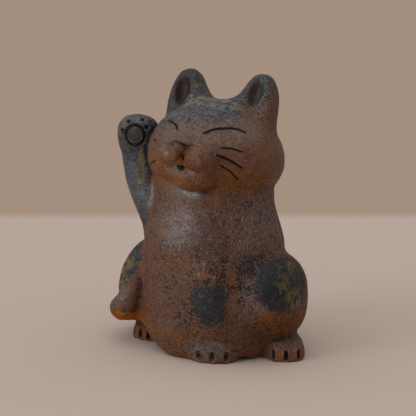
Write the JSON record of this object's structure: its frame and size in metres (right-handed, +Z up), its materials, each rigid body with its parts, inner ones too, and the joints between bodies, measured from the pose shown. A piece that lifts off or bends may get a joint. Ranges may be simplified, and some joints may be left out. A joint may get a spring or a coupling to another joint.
{
  "type": "lucky cat figurine",
  "caption": "Small hollow stoneware cat that sits up and beckons with its raised right forepaw, its eyes closed and its tail curled round its side.",
  "frame": {"origin": "on the ground, under the middle of the whole figure", "axes": "+Z up, the cat faces -Y, and its raised right foreleg is at -X"},
  "size_m": [0.0842, 0.0592, 0.1106],
  "materials": {
    "brown_stoneware": "satin, speckled red-brown clay",
    "slate_stoneware": "satin, slate with olive ash",
    "orange_stoneware": "satin, orange-brown clay"
  },
  "bodies": {
    "root": {"body_shell": "brown_stoneware", "head_shell": "brown_stoneware", "left_ear": "slate_stoneware", "right_ear": "slate_stoneware", "left_whisker_pad": "brown_stoneware", "right_whisker_pad": "brown_stoneware", "nose": "brown_stoneware", "chin": "orange_stoneware", "raised_foreleg": "slate_stoneware", "palm_pad": "slate_stoneware", "left_haunch": "slate_stoneware", "right_haunch": "slate_stoneware", "left_hind_foot": "brown_stoneware", "right_hind_foot": "brown_stoneware", "left_forepaw": "brown_stoneware", "tail": "orange_stoneware"}
  },
  "joints": []
}
